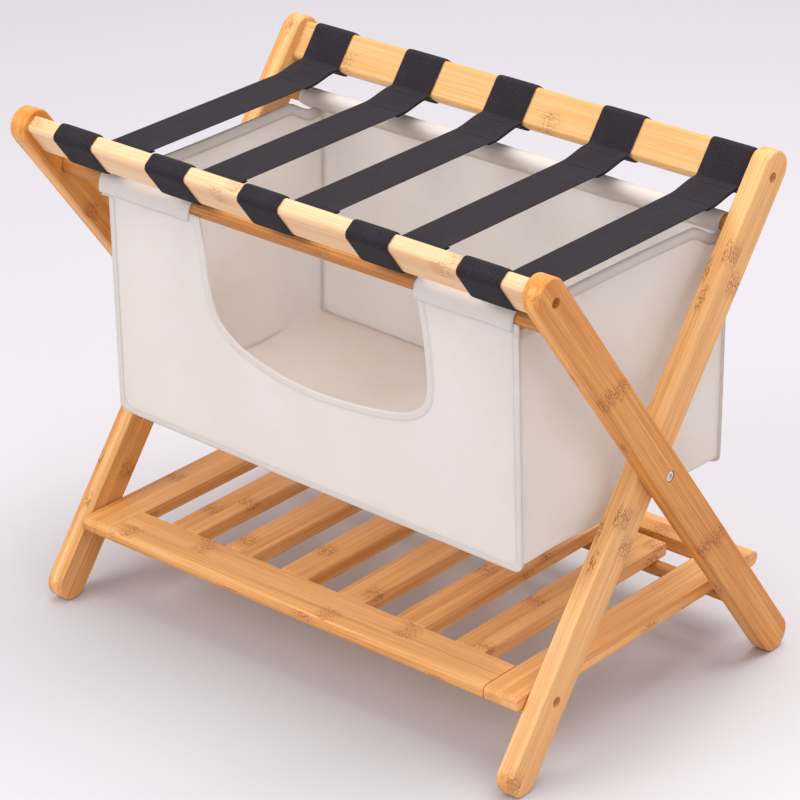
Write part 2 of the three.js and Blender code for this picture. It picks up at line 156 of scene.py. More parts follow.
def bamboo(name, pale, deep, layer=0.0072, strip=0.0225, figure=1.0):
    """Bamboo that follows a piece's own measures, held in its grain attribute: along, across, through.

    Each strip of each layer has a tone of its own, and long fibres run in it. About every 0.27 m
    it has a node: a thin line across, with a patch of brown specks beside it.
    """
    material, tree, shader = new_finish(name)
    grain = add_node(tree, "Attribute", attribute_name="grain").outputs["Vector"]
    waver = streaks(tree, grain, (9.0, 30.0, 30.0), detail=1.0)
    split = add_node(tree, "SeparateXYZ", {0: grain}).outputs
    along = split[0]
    shifted = sums(tree, "MULTIPLY", sums(tree, "SUBTRACT", waver, 0.5), 0.0016)
    across = sums(tree, "ADD", split[1], shifted)
    through = sums(tree, "ADD", split[2], shifted)
    past_middle = sums(tree, "ADD", along, PIECE_SPACING / 2)
    piece_number = sums(tree, "FLOOR", sums(tree, "DIVIDE", past_middle, PIECE_SPACING))
    strip_number = sums(tree, "FLOOR", sums(tree, "DIVIDE", across, strip))
    layer_number = sums(tree, "FLOOR", sums(tree, "DIVIDE", through, layer))
    number = add_node(tree, "CombineXYZ", {0: piece_number, 1: strip_number, 2: layer_number}).outputs[0]
    tone = add_node(tree, "TexWhiteNoise", {"Vector": number}, noise_dimensions="3D").outputs[0]

    fibre = streaks(tree, grain, (5.0, 900.0, 900.0), detail=4.0)
    hair = streaks(tree, grain, (26.0, 3600.0, 3600.0), detail=2.0)
    cloud = streaks(tree, grain, (3.0, 70.0, 70.0), detail=2.0)
    spot = streaks(tree, grain, (330.0, 700.0, 700.0), detail=2.0, rough=0.7)
    patch = streaks(tree, grain, (18.0, 110.0, 110.0), detail=1.0)

    step = sums(tree, "FRACT", sums(tree, "ADD", sums(tree, "DIVIDE", along, NODE_SPACING), tone))
    away = sums(tree, "MULTIPLY", sums(tree, "ABSOLUTE", sums(tree, "SUBTRACT", step, 0.5)), NODE_SPACING)
    wobbled = sums(tree, "ADD", away, sums(tree, "MULTIPLY", sums(tree, "SUBTRACT", patch, 0.5), 0.012))
    band = ease(tree, wobbled, 0.003, 0.018, 1.0, 0.0)
    speck = sums(tree, "MULTIPLY", band, ease(tree, spot, 0.44, 0.58, 0.0, 1.0))
    ring = ease(tree, away, 0.0002, 0.0013, 1.0, 0.0)
    mark = sums(tree, "MINIMUM", sums(tree, "ADD", speck, sums(tree, "MULTIPLY", ring, 0.35)), 1.0)
    mark = sums(tree, "MULTIPLY", mark, figure)

    depth = sums(tree, "MULTIPLY", sums(tree, "SUBTRACT", tone, 0.5), 0.60)
    depth = sums(tree, "ADD", depth, ease(tree, fibre, 0.36, 0.64, 0.0, 0.56))
    depth = sums(tree, "ADD", depth, ease(tree, cloud, 0.34, 0.66, -0.06, 0.32))
    depth = sums(tree, "ADD", depth, ease(tree, hair, 0.46, 0.64, 0.0, 0.34))
    depth = ease(tree, depth, -0.20, 1.10, 0.0, 1.0)
    colour = blend_colours(tree, depth, (*pale, 1), (*deep, 1))
    brown = tuple(c * f for c, f in zip(deep, (0.50, 0.32, 0.18)))
    colour = blend_colours(tree, sums(tree, "MULTIPLY", mark, 0.78), colour, (*brown, 1))
    tree.links.new(colour, shader.inputs["Base Color"])
    tree.links.new(ease(tree, fibre, 0.3, 0.7, 0.36, 0.47), shader.inputs["Roughness"])
    shader.inputs["Specular IOR Level"].default_value = 0.30
    shader.inputs["Coat Weight"].default_value = 0.08
    shader.inputs["Coat Roughness"].default_value = 0.28
    relief = sums(tree, "ADD", sums(tree, "MULTIPLY", fibre, 0.6), sums(tree, "MULTIPLY", hair, 0.5))
    relief = sums(tree, "SUBTRACT", relief, sums(tree, "MULTIPLY", mark, 0.5))
    bump = add_node(tree, "Bump", {"Height": relief, "Strength": 0.22, "Distance": 0.0003})
    tree.links.new(bump.outputs[0], shader.inputs["Normal"])
    return material


def new_piece(name, mesh, material):
    """A piece of the rack with the given mesh, shaded smooth, in the material."""
    mesh.polygons.foreach_set("use_smooth", np.ones(len(mesh.polygons), bool))
    mesh.materials.append(material)
    piece = bpy.data.objects.new(name, mesh)
    bpy.context.scene.collection.objects.link(piece)
    return piece


def middle(node):
    """The centre of a CAD piece's box."""
    low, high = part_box(node)
    return (np.array(low) + np.array(high)) / 2


def finished_from(node, name, material, sharp=50):
    """A piece with a CAD piece's surface, whose equal corners are made one vertex.

    Light then rolls round the eased edges, and an edge that turns by more than the sharp angle,
    in degrees, stays crisp.
    """
    source = frame["nodes"][node].data
    points = np.empty(3 * len(source.vertices), np.float32)
    source.vertices.foreach_get("co", points)
    corners = np.empty(len(source.loops), np.int32)
    source.loops.foreach_get("vertex_index", corners)
    points, same = np.unique(points.reshape(-1, 3).round(6), axis=0, return_inverse=True)
    faces = same.reshape(-1)[corners].reshape(-1, 3)
    whole = (faces != np.roll(faces, 1, axis=1)).all(axis=1)
    mesh = bpy.data.meshes.new(name)
    mesh.from_pydata(points.tolist(), [], faces[whole].tolist())
    piece = new_piece(name, mesh, material)
    mesh.set_sharp_from_angle(angle=math.radians(sharp))
    flat = piece.modifiers.new("flat faces stay flat", "WEIGHTED_NORMAL")
    flat.keep_sharp = True
    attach(piece, body_of[node])
    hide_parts(node)
    return piece


OUTSIDE = 0.0012                        # from where the grain is measured to the piece's face


def lay_grain(piece, centre, along, across, number):
    """Writes each point's way along the fibres, across the face and through the thickness.

    The way along starts at the piece's centre, and each numbered piece begins 3 m further along,
    so that no two pieces show the same stretch of bamboo. The other two start 1.2 mm outside it.
    """
    mesh = piece.data
    points = np.empty(3 * len(mesh.vertices), np.float32)
    mesh.vertices.foreach_get("co", points)
    offset = points.reshape(-1, 3) - centre
    ways = np.stack([along, across, np.cross(along, across)], axis=1)
    measures = offset @ ways
    measures[:, 1:] += OUTSIDE - measures[:, 1:].min(axis=0)
    measures[:, 0] += PIECE_SPACING * number
    grain = mesh.attributes.new("grain", "FLOAT_VECTOR", "POINT")
    grain.data.foreach_set("vector", measures.astype(np.float32).ravel())


def unit(vector):
    """The vector at length one."""
    return vector / np.linalg.norm(vector)


ALONG_X = np.array([1.0, 0.0, 0.0])
ALONG_Y = np.array([0.0, 1.0, 0.0])
ALONG_Z = np.array([0.0, 0.0, 1.0])
outer_way = unit((middle("front_bag_dowel") - pivot) * (0, 1, 1))
inner_way = unit((middle("back_bag_dowel") - pivot) * (0, 1, 1))

outer_bamboo = bamboo("bamboo, outer legs", pale=(0.86, 0.43, 0.118), deep=(0.58, 0.195, 0.026))
inner_bamboo = bamboo("bamboo, inner legs", pale=(0.92, 0.53, 0.22), deep=(0.66, 0.285, 0.072))
LEGS = [
    ("outer_leg_left", outer_way, outer_bamboo), ("outer_leg_right", outer_way, outer_bamboo),
    ("inner_leg_left", inner_way, inner_bamboo), ("inner_leg_right", inner_way, inner_bamboo),
]
for number, (node, way, material) in enumerate(LEGS):
    leg = finished_from(node, "bamboo_" + node, material)
    lay_grain(leg, middle(node), way, np.cross(ALONG_X, way), number)


# ---- Top rails ----------------------------------------------------------------------------------
# A flat bamboo rail joins the tops of each pair of legs. It lies along the legs' own slope, paler than the legs,
# and its edges are rounded so that the webbing runs over them. The front rail is paler still: partly its own tone
# and partly a painted highlight for the sheen of its lacquer.
# The front rail's pale colours are partly its own tone and partly a painted highlight for the sheen of its
# lacquer.
front_bamboo_with_painted_sheen = bamboo("bamboo, front rail, painted sheen", pale=(0.85, 0.58, 0.35), deep=(0.72, 0.40, 0.175), figure=0.7)
back_bamboo = bamboo("bamboo, back rail", pale=(0.80, 0.54, 0.27), deep=(0.66, 0.355, 0.115), figure=0.7)
RAILS = [("front_top_rail", outer_way, front_bamboo_with_painted_sheen), ("back_top_rail", inner_way, back_bamboo)]
for number, (node, way, material) in enumerate(RAILS):
    rail = finished_from(node, "bamboo_" + node, material)
    lay_grain(rail, middle(node), ALONG_X, way, number + 4)


# ---- Dowels and crossbar ------------------------------------------------------------------------
# Turned bamboo rods in blind holes: one under each top rail carries the bag, and one low down at
# the back carries the shelf. They are darker and plainer than the flat pieces.
dowel_bamboo = bamboo("bamboo, dowels", pale=(0.66, 0.30, 0.085), deep=(0.42, 0.15, 0.028), figure=0.5)
for number, node in enumerate(["front_bag_dowel", "back_bag_dowel", "shelf_crossbar"]):
    rod = finished_from(node, "bamboo_" + node, dowel_bamboo)
    lay_grain(rod, middle(node), ALONG_X, ALONG_Z, number + 6)


# ---- Screws, bolts and washers ------------------------------------------------------------------
# Plated steel: pan-head screws sunk in round holes, and at each pivot a socket bolt that meets a
# sleeve nut, with a washer between the legs. Handling has left faint fine scratches.
def plated_steel(name, roughness=0.26):
    """Bright plating with a slightly uneven polish and faint fine scratches."""
    material, tree, shader = new_finish(name)
    place = add_node(tree, "TexCoord").outputs["Object"]
    smear = streaks(tree, place, (260.0, 260.0, 260.0), detail=3.0)
    scratch = streaks(tree, place, (9000.0, 700.0, 700.0), detail=2.0)
    uneven = ease(tree, smear, 0.3, 0.7, roughness - 0.08, roughness + 0.12)
    colour = blend_colours(tree, smear, (0.80, 0.81, 0.83, 1), (0.62, 0.63, 0.66, 1))
    tree.links.new(colour, shader.inputs["Base Color"])
    tree.links.new(uneven, shader.inputs["Roughness"])
    shader.inputs["Metallic"].default_value = 1.0
    bump = add_node(tree, "Bump", {"Height": scratch, "Strength": 0.12, "Distance": 0.0001})
    tree.links.new(bump.outputs[0], shader.inputs["Normal"])
    return material


steel = plated_steel("steel, plated")
FASTENERS = [node for node in body_of if slot_of[node] == "steel"]
for node in FASTENERS:
    finished_from(node, "steel_" + node, steel, sharp=35)


# ---- Shelf --------------------------------------------------------------------------------------
# A front board between two end stiles, with six slats that run back from it to free, rounded ends.
# A board across the ends of the stiles closes the back.
shelf_bamboo = bamboo("bamboo, shelf", pale=(0.90, 0.48, 0.185), deep=(0.66, 0.265, 0.058), figure=0.85)
BOARDS = ["shelf_front_rail", "shelf_back_board"]
SLATS = ["shelf_stile_left", "shelf_stile_right"] + [f"shelf_slat_{i}" for i in range(1, 7)]
for number, node in enumerate(BOARDS + SLATS):
    board = finished_from(node, "bamboo_" + node, shelf_bamboo)
    if node in BOARDS:
        lay_grain(board, middle(node), ALONG_X, ALONG_Y, number + 9)
    else:
        lay_grain(board, middle(node), ALONG_Y, ALONG_X, number + 9)


# ---- Straps -------------------------------------------------------------------------------------
# Five bands of black 50 mm webbing. Each goes round a rail, comes back under itself and is sewn
# down, then crosses to the other rail and does the same there.
STRAP_WIDTH = 0.050
STRAP_THICK = 0.0018
STRAP_CAMBER = 0.0004                   # that the middle of a span stands above its selvedges
RAIL_WIDTH, RAIL_THICK, RAIL_ROUND = 0.042, 0.018, 0.005
LAY = 0.0003 + STRAP_THICK / 2          # from a rail's face to the middle of the webbing
TAIL = 0.046                            # how far the sewn tail runs under the span
SEWN_TO = 0.0034                        # from the turn at the rail to where the span begins


def along_line(points):
    """How far along the line each of its points is."""
    return np.concatenate([[0.0], np.cumsum(np.linalg.norm(np.diff(points, axis=0), axis=1))])


def evenly(points, count):
    """The same line through count points that are equally far apart along it."""
    reach = along_line(points)
    wanted = np.linspace(0, reach[-1], count)
    return np.stack([np.interp(wanted, reach, column) for column in points.T], axis=1)


def heading(points):
    """The way a line runs at each of its points, at length one."""
    way = np.gradient(points, axis=0)
    return way / np.linalg.norm(way, axis=1, keepdims=True)


def bent_path(corners, radii):
    """The line through the corners, turned at each inner corner on an arc of its radius.

    An arc begins where the straight is r tan(turn / 2) short of its corner and swings about the
    point r to the side of that start.
    """
    corners = np.asarray(corners, float)
    parts = [corners[:1]]
    for before, corner, after, radius in zip(corners, corners[1:], corners[2:], radii):
        come = unit(corner - before)
        go = unit(after - corner)
        turn = math.atan2(come[0] * go[1] - come[1] * go[0], come @ go)
        start = corner - come * radius * math.tan(abs(turn) / 2)
        arm = -np.sign(turn) * radius * np.array([-come[1], come[0]])
        swing = np.linspace(0, turn, 14)
        side = np.array([-arm[1], arm[0]])
        parts.append(start - arm + np.outer(np.cos(swing), arm) + np.outer(np.sin(swing), side))
    parts.append(corners[-1:])
    return np.concatenate(parts)


def grid_mesh(name, points, uv, material, closed=False, capped=False):
    """A surface through a grid of points, rows by columns, with uv in metres at each of them.

    Closed joins the last column to the first, and capped then fills the first and last rows.
    """
    rows, columns = points.shape[:2]
    index = np.arange(rows * columns).reshape(rows, columns)
    near = np.concatenate([index, index[:, :1]], axis=1) if closed else index
    quads = np.stack([near[:-1, :-1], near[:-1, 1:], near[1:, 1:], near[1:, :-1]], axis=-1)
    faces = quads.reshape(-1, 4).tolist()
    if capped:
        faces += [index[0, ::-1].tolist(), index[-1].tolist()]
    mesh = bpy.data.meshes.new(name)
    mesh.from_pydata(points.reshape(-1, 3).tolist(), [], faces)
    corner = np.empty(len(mesh.loops), np.int32)
    mesh.loops.foreach_get("vertex_index", corner)
    layer = mesh.uv_layers.new(name="cloth")
    layer.data.foreach_set("uv", uv.reshape(-1, 2)[corner].astype(np.float32).ravel())
    return new_piece(name, mesh, material)


RIB_PITCH, TWILL_PITCH = 0.0022, 0.0027


def webbing(name):
    """Black polyester webbing: ribs across it 2.2 mm apart, a fine twill over them, and dusty flecks. Its colour
    is darkest where the weave lies low: painted shade in the weave's hollows.
    """
    material, tree, shader = new_finish(name)
    cloth = add_node(tree, "UVMap", uv_map="cloth").outputs[0]
    split = add_node(tree, "SeparateXYZ", {0: cloth}).outputs
    rib = sums(tree, "SINE", sums(tree, "MULTIPLY", split[1], 2 * math.pi / RIB_PITCH))
    leaning = sums(tree, "MULTIPLY", split[1], 0.9)
    slant = sums(tree, "ADD", split[0], leaning)
    twill = sums(tree, "SINE", sums(tree, "MULTIPLY", slant, 2 * math.pi / TWILL_PITCH))
    counter = sums(tree, "SUBTRACT", split[0], leaning)
    yarn = sums(tree, "SINE", sums(tree, "MULTIPLY", counter, 2 * math.pi / TWILL_PITCH))
    weave = sums(tree, "ADD", sums(tree, "MULTIPLY", rib, 0.12), sums(tree, "MULTIPLY", twill, yarn))
    fuzz = streaks(tree, cloth, (2600.0, 2600.0, 1.0), detail=3.0)
    dust = streaks(tree, cloth, (420.0, 900.0, 1.0), detail=4.0, rough=0.7)
    worn = streaks(tree, cloth, (30.0, 22.0, 1.0), detail=2.0)
    # Near black where the weave lies low, dark grey on its crowns: painted shade in the weave's hollows.
    shade = blend_colours(tree, ease(tree, weave, -0.5, 1.2, 0.0, 1.0), (0.003, 0.0025, 0.0035, 1),
                          (0.060, 0.050, 0.062, 1))
    shade = blend_colours(tree, ease(tree, worn, 0.4, 0.7, 0.0, 0.35), shade, (0.034, 0.027, 0.035, 1))
    shade = blend_colours(tree, ease(tree, dust, 0.58, 0.72, 0.0, 0.60), shade, (0.130, 0.118, 0.132, 1))
    tree.links.new(shade, shader.inputs["Base Color"])
    shader.inputs["Roughness"].default_value = 0.86
    shader.inputs["Specular IOR Level"].default_value = 0.16
    shader.inputs["Sheen Weight"].default_value = 0.03
    shader.inputs["Sheen Roughness"].default_value = 0.5
    relief = sums(tree, "ADD", weave, sums(tree, "MULTIPLY", fuzz, 0.8))
    bump = add_node(tree, "Bump", {"Height": relief, "Strength": 0.75, "Distance": 0.00025})
    tree.links.new(bump.outputs[0], shader.inputs["Normal"])
    return material


def band(name, path, centre, camber=STRAP_CAMBER):
    """Webbing laid along a path of (y, z) points.

    Its section is a flat band with round selvedges: x follows the cosine and the height the sine
    of an angle, each flattened towards a rectangle, and the middle stands up by the camber.
    """
    angle = np.linspace(2 * np.pi, 0, 40, endpoint=False)
    across = np.sign(np.cos(angle)) * np.abs(np.cos(angle)) ** 0.35 * STRAP_WIDTH / 2
    height = np.sign(np.sin(angle)) * np.abs(np.sin(angle)) ** 0.55 * STRAP_THICK / 2
    height = height + camber * (1 - (2 * across / STRAP_WIDTH) ** 2)
    way = heading(path)
    off = np.stack([-way[:, 1], way[:, 0]], axis=1)
    points = np.empty((len(path), len(angle), 3))
    points[..., 0] = centre + across
    points[..., 1:] = path[:, None, :] + off[:, None, :] * height[None, :, None]
    uv = np.stack(np.broadcast_arrays(across[None, :], along_line(path)[:, None]), axis=-1)
    return grid_mesh(name, points, uv, black_webbing, closed=True, capped=True)


def stitches(name, line, face, material, pitch=0.0032, length=0.0024, width=0.0005):
    """Thread showing along a line of 3-D points, one stitch each pitch, half sunk into the face.

    A stitch is a short rod of six sides that swells from its ends to its middle. face is the way
    out of the cloth, one vector or one for each point of the line.
    """
    reach = along_line(line)
    at = np.arange(pitch / 2, reach[-1], pitch)
    centre = np.stack([np.interp(at, reach, column) for column in line.T], axis=1)
    way = np.gradient(line, axis=0)
    way = np.stack([np.interp(at, reach, column) for column in way.T], axis=1)
    way = way / np.linalg.norm(way, axis=1, keepdims=True)
    out = np.broadcast_to(face, line.shape)
    out = np.stack([np.interp(at, reach, column) for column in out.T], axis=1)
    side = np.cross(way, out)
    side = side / np.linalg.norm(side, axis=1, keepdims=True)
    turn = np.linspace(0, 2 * np.pi, 6, endpoint=False)
    step = np.array([-0.5, -0.36, 0.0, 0.36, 0.5]) * length
    swell = np.array([0.25, 0.8, 1.0, 0.8, 0.25]) * width / 2
    ring = (swell[:, None] * np.cos(turn))[None, ..., None] * side[:, None, None, :]
    ring = ring + (swell[:, None] * np.sin(turn))[None, ..., None] * out[:, None, None, :]
    points = centre[:, None, None, :] + step[None, :, None, None] * way[:, None, None, :] + ring
    index = np.arange(len(at) * 30).reshape(len(at), 5, 6)
    near = np.concatenate([index, index[..., :1]], axis=2)
    quads = np.stack([near[:, :-1, :-1], near[:, 1:, :-1], near[:, 1:, 1:], near[:, :-1, 1:]], axis=-1)
    faces = quads.reshape(-1, 4).tolist() + index[:, 0, :].tolist() + index[:, -1, ::-1].tolist()
    mesh = bpy.data.meshes.new(name)
    mesh.from_pydata(points.reshape(-1, 3).tolist(), [], faces)
    return new_piece(name, mesh, material)


def thread(name, colour):
    """Spun sewing thread: a soft twist along the stitch and a dry surface."""
    material, tree, shader = new_finish(name)
    place = add_node(tree, "TexCoord").outputs["Object"]
    twist = streaks(tree, place, (3800.0, 3800.0, 3800.0), detail=2.0)
    dark = tuple(0.72 * c for c in colour)
    tree.links.new(blend_colours(tree, twist, (*colour, 1), (*dark, 1)), shader.inputs["Base Color"])
    shader.inputs["Roughness"].default_value = 0.7
    bump = add_node(tree, "Bump", {"Height": twist, "Strength": 0.4, "Distance": 0.0001})
    tree.links.new(bump.outputs[0], shader.inputs["Normal"])
    return material


def on_frame(way, reach, offset):
    """The (y, z) of a point that lies reach up a frame's legs from the pivot and offset over them."""
    over = np.array([way[2], abs(way[1])]) if way[1] < 0 else np.array([-way[2], abs(way[1])])
    return pivot[1:] + reach * way[1:] + offset * over


def place_on_frame(way, point):
    """How far a point lies up a frame's legs from the pivot, and how far over them."""
    over = np.array([-np.sign(way[1]) * way[2], abs(way[1])])
    return (point - pivot)[1:] @ way[1:], (point - pivot)[1:] @ over


black_webbing = webbing("webbing, black")
black_thread = thread("thread, black", (0.030, 0.027, 0.031))
span_low, span_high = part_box("strap_1_span")
span_height = (span_low[2] + span_high[2]) / 2 + 0.0006
tail_height = span_height - STRAP_THICK - 0.0003


def loop_path(way, rail):
    """The webbing's middle line round a rail, from the span, over the rail, and back under the span."""
    reach, offset = place_on_frame(way, middle(rail))
    low, high = reach - RAIL_WIDTH / 2 - LAY, reach + RAIL_WIDTH / 2 + LAY
    inside, outside = offset + RAIL_THICK / 2 + LAY, offset - RAIL_THICK / 2 - LAY
    inner_edge = on_frame(way, low, inside)
    slope = on_frame(way, 1.0, 0.0) - on_frame(way, 0.0, 0.0)
    turn = inner_edge + slope * (span_height - inner_edge[1]) / slope[1]
    lean = on_frame(way, 0.0, 1.0) - on_frame(way, 0.0, 0.0)
    return_turn = inner_edge + lean * (tail_height - inner_edge[1]) / lean[1]
    ends = turn[0] - np.sign(way[1]) * SEWN_TO
    corners = [
        (ends, span_height), turn, on_frame(way, high, inside), on_frame(way, high, outside),
        on_frame(way, low, outside), return_turn, (ends, tail_height),
    ]
    turns = [0.004, RAIL_ROUND + LAY, RAIL_ROUND + LAY, RAIL_ROUND + LAY, 0.0016]
    return evenly(bent_path(corners, turns), 130), ends


front_loop, span_front = loop_path(outer_way, "front_top_rail")
back_loop, span_back = loop_path(inner_way, "back_top_rail")
DROP = 0.0060                           # that a span hangs below its loops
DROP_WITHIN = 0.040


def hang(ys):
    """The drop of a span at y: 3t^2 - 2t^3 of the way from each loop, t rising to 1 within 40 mm."""
    t = np.clip(np.minimum(ys - span_front, span_back - ys) / DROP_WITHIN, 0, 1)
    return DROP * (3 * t ** 2 - 2 * t ** 3)


def hung_path(start, end, height, count):
    """The (y, z) points of webbing that hangs between the loops, from y = start to y = end."""
    ys = np.linspace(start, end, count)
    return np.stack([ys, height - hang(ys)], axis=1)


span_path = hung_path(span_front, span_back, span_height, 110)
front_tail = hung_path(span_front, span_front + TAIL, tail_height, 24)
back_tail = hung_path(span_back - TAIL, span_back, tail_height, 24)

# Each tail is sewn down across the webbing by its loop and again by its end.
ROW_WIDTH = 0.045
BY_LOOP, BY_END = 0.007, 0.006
SEWN_AT = [span_front + BY_LOOP, span_front + TAIL - BY_END, span_back - TAIL + BY_END, span_back - BY_LOOP]
for i in range(1, 6):
    centre = middle(f"strap_{i}_span")[0]
    front_wrap = band(f"webbing_{i}_front_loop", front_loop[::-1], centre, camber=0.0)
    back_wrap = band(f"webbing_{i}_back_loop", back_loop, centre, camber=0.0)
    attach(front_wrap, "outer_frame")
    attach(back_wrap, "inner_frame")
    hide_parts(f"strap_{i}_front_loop")
    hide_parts(f"strap_{i}_back_loop")
    span = band(f"webbing_{i}_span", span_path[::-1], centre)
    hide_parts(f"strap_{i}_span")
    tails = [
        band(f"webbing_{i}_front_tail", front_tail[::-1], centre, camber=0.0),
        band(f"webbing_{i}_back_tail", back_tail[::-1], centre, camber=0.0),
    ]
    rows = []
    for k, y in enumerate(SEWN_AT):
        xs = np.linspace(-ROW_WIDTH / 2, ROW_WIDTH / 2, 24)
        top = span_height - hang(y) + STRAP_THICK / 2 + STRAP_CAMBER * (1 - (2 * xs / STRAP_WIDTH) ** 2)
        line = np.stack([centre + xs, np.full(24, y), top], axis=1)
        rows.append(stitches(f"thread_{i}_row_{k + 1}", line, ALONG_Z, black_thread, width=0.0007))
    for piece in [span, *tails, *rows]:
        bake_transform(piece)


# ---- Bag: cloth and sleeves ---------------------------------------------------------------------
# Unbleached cotton canvas, 1.2 mm thick. The top of each panel is folded over its dowel and sewn
# down: the front sleeve is in two parts, beside the scoop, and the back one is whole.
CLOTH_THICK = 0.0012
SLEEVE_RADIUS = 0.0095                  # of the cloth's middle round the 16 mm dowel
SLEEVE_DROP = 0.0115                    # from the dowel's middle to the sleeve's outer edge
FRONT_SLEEVES = [("left", -0.256, -0.135), ("right", 0.148, 0.264)]
BACK_SLEEVE = (-0.258, 0.277)
YARN_PITCH = 0.0008


def canvas(name, tint):
    """Plain-weave cotton canvas: crossing yarns 0.8 mm apart, thicker slubs here and there, soft mottling.

    A little light comes through it, so the inside of the bag is lit by the cloth itself.
    """
    material, tree, shader = new_finish(name)
    cloth = add_node(tree, "UVMap", uv_map="cloth").outputs[0]
    split = add_node(tree, "SeparateXYZ", {0: cloth}).outputs
    warp = sums(tree, "SINE", sums(tree, "MULTIPLY", split[0], 2 * math.pi / YARN_PITCH))
    weft = sums(tree, "SINE", sums(tree, "MULTIPLY", split[1], 2 * math.pi / YARN_PITCH))
    weave = sums(tree, "MULTIPLY", warp, weft)
    slub = streaks(tree, cloth, (90.0, 1300.0, 1.0), detail=3.0)
    slub_up = streaks(tree, cloth, (1300.0, 90.0, 1.0), detail=3.0)
    mottle = streaks(tree, cloth, (14.0, 11.0, 1.0), detail=3.0)
    crumple = streaks(tree, cloth, (46.0, 34.0, 1.0), detail=4.0, rough=0.6)
    uneven = sums(tree, "ADD", sums(tree, "MULTIPLY", slub, 0.5), sums(tree, "MULTIPLY", slub_up, 0.5))
    deeper = tuple(c * f for c, f in zip(tint, (0.965, 0.945, 0.915)))
    slubby = ease(tree, uneven, 0.38, 0.66, 0.0, 0.55)
    share = sums(tree, "ADD", slubby, ease(tree, mottle, 0.35, 0.7, 0.0, 0.4))
    colour = blend_colours(tree, share, (*tint, 1), (*deeper, 1))
    # Where the weave lies low the colour goes up to a tenth of the way to the deeper tone: painted shade in the
    # weave's hollows.
    colour = blend_colours(tree, ease(tree, weave, -1.0, 1.0, 0.10, 0.0), colour, (*deeper, 1))
    tree.links.new(colour, shader.inputs["Base Color"])
    shader.inputs["Roughness"].default_value = 0.92
    shader.inputs["Specular IOR Level"].default_value = 0.2
    shader.inputs["Sheen Weight"].default_value = 0.15
    relief = sums(tree, "ADD", sums(tree, "MULTIPLY", weave, 0.25), sums(tree, "MULTIPLY", uneven, 0.7))
    fine = add_node(tree, "Bump", {"Height": relief, "Strength": 0.5, "Distance": 0.0003}).outputs[0]
    soft = add_node(tree, "Bump", {"Height": crumple, "Strength": 0.35, "Distance": 0.0022, "Normal": fine})
    tree.links.new(soft.outputs[0], shader.inputs["Normal"])
    through = add_node(tree, "BsdfTranslucent", {"Color": colour, "Normal": soft.outputs[0]}).outputs[0]
    mixed = add_node(tree, "MixShader", {0: 0.52, 1: shader.outputs[0], 2: through}).outputs[0]
    tree.links.new(mixed, tree.nodes["Material Output"].inputs["Surface"])
    return material


bag_canvas = canvas("canvas, natural", tint=(0.955, 0.93, 0.91))
bag_thread = thread("thread, natural", (0.78, 0.74, 0.70))
front_dowel = middle("front_bag_dowel")
back_dowel = middle("back_bag_dowel")


def cloth_piece(name, points, uv, thick=CLOTH_THICK):
    """A piece of canvas through a grid of points, given its thickness evenly to both sides."""
    piece = grid_mesh(name, points, uv, bag_canvas)
    wall = piece.modifiers.new("cloth thickness", "SOLIDIFY")
    wall.thickness = thick
    wall.offset = 0.0
    wall.use_even_offset = True
    return piece


def sleeve(name, dowel, out, start, end):
    """A sleeve swept along its dowel, from x = start to x = end.

    Its section goes up the outside, round the top of the dowel and down the inside to the seam,
    where it holds the panel. Along the dowel its girth swells and narrows a little, as a cosine.
    """
    r = SLEEVE_RADIUS
    corners = [
        (out * r, -SLEEVE_DROP), (out * r, r), (-out * r, r), (-out * r, -0.004),
        (out * (r - 0.0026), -SLEEVE_DROP - 0.004),
    ]
    section = evenly(bent_path(corners, [r * 0.999, r * 0.999, 0.006]), 46)
    count = max(12, int((end - start) / 0.003))
    xs = np.linspace(start, end, count)
    swell = 1 + 0.018 * np.cos(xs * 96) + 0.012 * np.cos(xs * 41 + 1)
    points = np.empty((count, 46, 3))
    points[..., 0] = xs[:, None] + 0.0008 * np.sin(section[None, :, 1] * 160)
    points[..., 1] = dowel[1] + section[None, :, 0]
    points[..., 2] = dowel[2] + section[None, :, 1] * swell[:, None]
    uv = np.stack(np.broadcast_arrays(xs[:, None], along_line(section)[None, :]), axis=-1)
    piece = cloth_piece(name, points, uv)
    line_x = np.linspace(start + 0.002, end - 0.002, 60)
    line = np.stack([line_x, np.full(60, dowel[1] + out * (r + 0.0006)),
                     np.full(60, dowel[2] - SLEEVE_DROP + 0.003)], axis=1)
    row = stitches(name + "_thread", line, out * ALONG_Y, bag_thread)
    flat = (end - start, along_line(section)[-1])
    return piece, row, flat


for side, start, end in FRONT_SLEEVES:
    piece, row, flat = sleeve(f"bag_front_sleeve_{side}", front_dowel, -1, start, end)
    for part in (piece, row):
        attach(part, "bag_front")
piece, row, flat = sleeve("bag_back_sleeve", back_dowel, 1, *BACK_SLEEVE)
for part in (piece, row):
    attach(part, "bag_back")


# ---- Bag: front and back panels -----------------------------------------------------------------
# Each panel hangs from its sleeve. The front one has a deep scoop cut down into it. Both reach
# 3.5 mm past the gusset at the ends and along the bottom, where the edges are sewn together.
back_low, back_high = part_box("bag_back_panel")
PANEL_LEFT, PANEL_RIGHT, PANEL_BOTTOM = back_low[0] + 0.001, back_high[0] - 0.008, back_low[2]
PANEL_TOP = -0.004                      # from the dowel's middle, inside the sleeve
PANEL_CORNER = 0.012
PANEL_TAPER = 0.006                     # that the left edge comes in by, towards the top
BACK_SPLAY = 0.007                      # that the bag is wider at the back
BAG_SLOPE = 0.0105                      # that the bag hangs higher at its left end
SEAM = 0.0035                           # from a panel's edge to the gusset
FRONT_LEAN = math.tan(math.radians(2.2))
SLEEVE_WALL = 0.0013                    # that a panel starts inside the middle of its sleeve's cloth
BELLY = 0.0040                          # that a panel's middle stands out from its seams
FRONT_RUFFLE, BACK_RUFFLE = 0.0034, 0.0036
